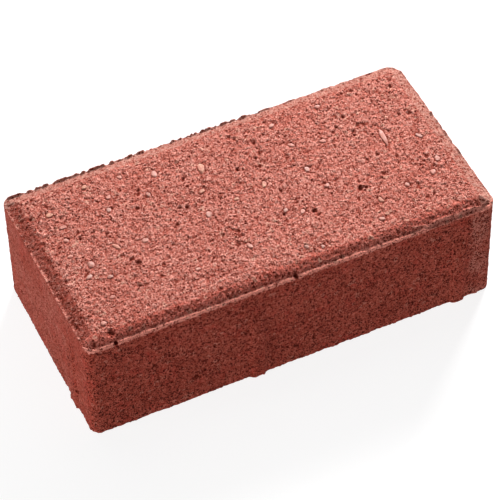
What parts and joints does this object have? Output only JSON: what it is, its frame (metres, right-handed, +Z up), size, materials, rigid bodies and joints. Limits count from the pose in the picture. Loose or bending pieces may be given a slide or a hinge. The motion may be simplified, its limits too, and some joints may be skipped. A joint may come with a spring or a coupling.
{
  "type": "rectangular concrete block paver",
  "caption": "Rectangular pressed concrete paving block with a chamfered granular top face, low spacer nibs on its sides and small stones showing at the surface.",
  "frame": {"origin": "middle of the bed face, on the surface the block stands on", "axes": "+X along the block's length, +Y across it, +Z up to the wearing face"},
  "size_m": [0.202, 0.102, 0.06],
  "materials": {
    "facing_concrete": "matte",
    "backing_concrete": "matte",
    "pale_granite": "matte",
    "grey_limestone": "matte",
    "buff_sandstone": "matte",
    "pink_granite": "matte"
  },
  "bodies": {
    "root": {"backing_course": "backing_concrete", "buff_sandstone_01": "buff_sandstone", "buff_sandstone_02": "buff_sandstone", "buff_sandstone_03": "buff_sandstone", "buff_sandstone_04": "buff_sandstone", "buff_sandstone_05": "buff_sandstone", "buff_sandstone_06": "buff_sandstone", "buff_sandstone_07": "buff_sandstone", "buff_sandstone_08": "buff_sandstone", "facing_course": "facing_concrete", "grey_limestone_01": "grey_limestone", "grey_limestone_02": "grey_limestone", "grey_limestone_03": "grey_limestone", "grey_limestone_04": "grey_limestone", "grey_limestone_05": "grey_limestone", "grey_limestone_06": "grey_limestone", "grey_limestone_07": "grey_limestone", "pale_granite_01": "pale_granite", "pale_granite_02": "pale_granite", "pale_granite_03": "pale_granite", "pale_granite_04": "pale_granite", "pale_granite_05": "pale_granite", "pale_granite_06": "pale_granite", "pale_granite_07": "pale_granite", "pale_granite_08": "pale_granite", "pink_granite_01": "pink_granite", "pink_granite_02": "pink_granite", "pink_granite_03": "pink_granite", "pink_granite_04": "pink_granite", "pink_granite_05": "pink_granite", "pink_granite_06": "pink_granite", "pink_granite_07": "pink_granite", "pink_granite_08": "pink_granite", "pink_granite_09": "pink_granite", "pink_granite_10": "pink_granite", "pink_granite_11": "pink_granite", "pink_granite_12": "pink_granite", "pink_granite_13": "pink_granite", "pink_granite_14": "pink_granite", "pink_granite_15": "pink_granite", "pink_granite_16": "pink_granite", "pink_granite_17": "pink_granite", "pink_granite_18": "pink_granite"}
  },
  "joints": []
}
